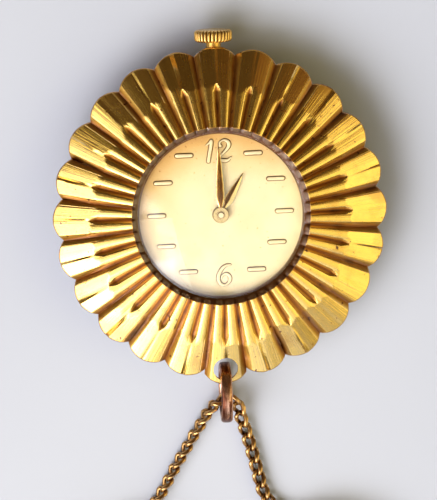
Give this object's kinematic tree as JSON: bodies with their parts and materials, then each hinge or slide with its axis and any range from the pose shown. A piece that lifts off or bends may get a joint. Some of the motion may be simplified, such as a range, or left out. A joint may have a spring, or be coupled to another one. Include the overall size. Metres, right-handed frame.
{
  "type": "fob watch",
  "caption": "Round fob watch with a scalloped flower bezel, cream dial, hand-wound movement, side crown, jump ring and a coiled curb neck chain with spring-ring clasp.",
  "frame": {"origin": "on the dial's axis, in the flat outer face of the case back", "axes": "+Z out of the dial; +Y towards 12 o'clock and the crown; +X towards 3 o'clock"},
  "size_m": [0.0426, 0.08, 0.0084],
  "materials": {
    "bezel_gold": "polished",
    "case_gold": "polished",
    "crystal_glass": "clear",
    "dial_cream": "satin",
    "marker_gold": "polished",
    "hand_bronze": "polished",
    "plate_nickel": "satin",
    "wheel_brass": "satin",
    "steel": "brushed",
    "blued_steel": "polished",
    "ruby": "polished",
    "balance_gold": "polished",
    "ring_copper": "brushed",
    "chain_gold": "aged",
    "clasp_gold": "polished"
  },
  "bodies": {
    "watch": {"flower_bezel": "bezel_gold", "case_middle": "case_gold", "case_back": "case_gold", "crystal": "crystal_glass", "movement_ring": "steel", "case_tube": "case_gold", "dial": "dial_cream", "hour_markers": "marker_gold", "numeral_twelve": "marker_gold", "numeral_six": "marker_gold", "main_plate": "plate_nickel", "barrel_bridge": "plate_nickel", "train_bridge": "plate_nickel", "balance_cock": "plate_nickel", "pallet_bridge": "plate_nickel", "plate_jewels": "ruby", "bridge_jewels": "ruby", "bridge_screws": "blued_steel", "crown_wheel_screw": "blued_steel", "click_spring": "steel", "hairspring": "blued_steel", "hairspring_stud": "steel", "setting_jumper": "steel", "chain_left_run": "chain_gold", "chain_right_run": "chain_gold", "chain_left_coil": "chain_gold", "chain_right_coil": "chain_gold", "clasp_body": "clasp_gold", "clasp_link": "clasp_gold", "chain_end_ring": "clasp_gold"},
    "centre_arbor": {"centre_wheel": "wheel_brass", "cannon_pinion": "steel", "minute_hand": "hand_bronze"},
    "hour_group": {"hour_wheel": "wheel_brass", "hour_hand": "hand_bronze"},
    "minute_wheel_group": {"minute_wheel": "wheel_brass"},
    "setting_wheel_group": {"setting_wheel": "wheel_brass"},
    "barrel": {"mainspring_barrel": "wheel_brass", "barrel_cover": "wheel_brass", "mainspring": "blued_steel"},
    "ratchet": {"barrel_arbor": "steel", "ratchet_wheel": "steel", "ratchet_screw": "blued_steel"},
    "crown_wheel_group": {"crown_wheel": "steel"},
    "click_group": {"click": "steel"},
    "third": {"third_wheel": "wheel_brass"},
    "fourth": {"fourth_wheel": "wheel_brass"},
    "escape": {"escape_wheel": "steel"},
    "pallets": {"pallet_fork": "steel"},
    "balance": {"balance_wheel": "balance_gold", "balance_staff": "steel"},
    "winding": {"winding_pinion": "steel"},
    "crown_stem": {"crown": "case_gold", "stem": "steel"},
    "clutch": {"clutch_wheel": "steel"},
    "setting_lever_group": {"setting_lever": "steel"},
    "yoke_group": {"yoke": "steel"},
    "ring": {"jump_ring": "ring_copper"},
    "bolt": {"clasp_bolt": "clasp_gold"}
  },
  "joints": [
    {"name": "minute_hand_turn", "type": "hinge", "parent": "watch", "child": "centre_arbor", "pos_m": [0, 0, 0.004], "axis": [0, 0, 1], "continuous": true},
    {"name": "hour_hand_turn", "type": "hinge", "parent": "watch", "child": "hour_group", "pos_m": [0, 0, 0.005], "axis": [0, 0, 1], "continuous": true},
    {"name": "minute_wheel_turn", "type": "hinge", "parent": "watch", "child": "minute_wheel_group", "pos_m": [0.00195, 0.00139, 0.0044], "axis": [0, 0, 1], "continuous": true},
    {"name": "setting_wheel_turn", "type": "hinge", "parent": "watch", "child": "setting_wheel_group", "pos_m": [0, 0.0034, 0.0044], "axis": [0, 0, 1], "continuous": true},
    {"name": "barrel_turn", "type": "hinge", "parent": "watch", "child": "barrel", "pos_m": [-0.00361, 0.00172, 0.0033], "axis": [0, 0, 1], "continuous": true},
    {"name": "third_wheel_turn", "type": "hinge", "parent": "watch", "child": "third", "pos_m": [0.00265, 0.00153, 0.003], "axis": [0, 0, 1], "continuous": true},
    {"name": "fourth_wheel_turn", "type": "hinge", "parent": "watch", "child": "fourth", "pos_m": [0.00488, -0.00003, 0.003], "axis": [0, 0, 1], "continuous": true},
    {"name": "escape_wheel_turn", "type": "hinge", "parent": "watch", "child": "escape", "pos_m": [0.00441, -0.00268, 0.003], "axis": [0, 0, 1], "continuous": true},
    {"name": "pallet_rock", "type": "hinge", "parent": "watch", "child": "pallets", "pos_m": [0.00258, -0.00354, 0.0033], "axis": [0, 0, 1], "range_deg": [-5, 5]},
    {"name": "balance_swing", "type": "hinge", "parent": "watch", "child": "balance", "pos_m": [0.00042, -0.00433, 0.003], "axis": [0, 0, 1], "range_deg": [-24, 24], "stiffness_Nm_per_rad": 0.000000059},
    {"name": "crown_turn", "type": "hinge", "parent": "watch", "child": "winding", "pos_m": [0, 0.00625, 0.0034], "axis": [0, 1, 0], "continuous": true},
    {"name": "crown_wheel_turn", "type": "hinge", "parent": "watch", "child": "crown_wheel_group", "pos_m": [0, 0.0046, 0.0017], "axis": [0, 0, 1], "continuous": true},
    {"name": "ratchet_turn", "type": "hinge", "parent": "watch", "child": "ratchet", "pos_m": [-0.00361, 0.00172, 0.0017], "axis": [0, 0, 1], "continuous": true},
    {"name": "crown_pull", "type": "slide", "parent": "winding", "child": "crown_stem", "axis": [0, 1, 0], "range_m": [0, 0.0005]},
    {"name": "clutch_shift", "type": "slide", "parent": "crown_stem", "child": "clutch", "axis": [0, 1, 0], "range_m": [-0.00091, 0]},
    {"name": "setting_lever_turn", "type": "hinge", "parent": "watch", "child": "setting_lever_group", "pos_m": [0.0022, 0.0072, 0.00485], "axis": [0, 0, 1], "range_deg": [-14, 0]},
    {"name": "yoke_turn", "type": "hinge", "parent": "watch", "child": "yoke_group", "pos_m": [-0.0026, 0.0064, 0.00485], "axis": [0, 0, 1], "range_deg": [-10, 0]},
    {"name": "click_lift", "type": "hinge", "parent": "watch", "child": "click_group", "pos_m": [-0.00699, 0.00049, 0.0017], "axis": [0, 0, 1], "range_deg": [0, 8]},
    {"name": "ring_swing", "type": "hinge", "parent": "watch", "child": "ring", "pos_m": [0, -0.0195, 0.00446], "axis": [-1, 0, 0], "range_deg": [0, 40], "deforming": ["chain_left_run", "chain_right_run"]},
    {"name": "clasp_bolt_slide", "type": "hinge", "parent": "watch", "child": "bolt", "pos_m": [0.0004, -0.056, 0.0008], "axis": [0, 0, 1], "range_deg": [0, 66], "stiffness_Nm_per_rad": 0.0000005}
  ],
  "couplings": [
    {"joint": "hour_hand_turn", "follows": "minute_hand_turn", "ratio": 0.083333},
    {"joint": "minute_wheel_turn", "follows": "minute_hand_turn", "ratio": -0.33333},
    {"joint": "setting_wheel_turn", "follows": "minute_hand_turn", "ratio": 0.6},
    {"joint": "barrel_turn", "follows": "minute_hand_turn", "ratio": -0.14286},
    {"joint": "third_wheel_turn", "follows": "minute_hand_turn", "ratio": -8},
    {"joint": "fourth_wheel_turn", "follows": "minute_hand_turn", "ratio": 60},
    {"joint": "escape_wheel_turn", "follows": "minute_hand_turn", "ratio": -600},
    {"joint": "crown_wheel_turn", "follows": "crown_turn", "ratio": 0.77778},
    {"joint": "ratchet_turn", "follows": "crown_turn", "ratio": -0.58333},
    {"joint": "clutch_shift", "follows": "crown_pull", "ratio": -1.8},
    {"joint": "pallet_rock", "follows": "balance_swing", "ratio": -0.2083},
    {"joint": "setting_lever_turn", "follows": "crown_pull", "rad_per_m": -454.55},
    {"joint": "yoke_turn", "follows": "crown_pull", "rad_per_m": -307.69}
  ]
}
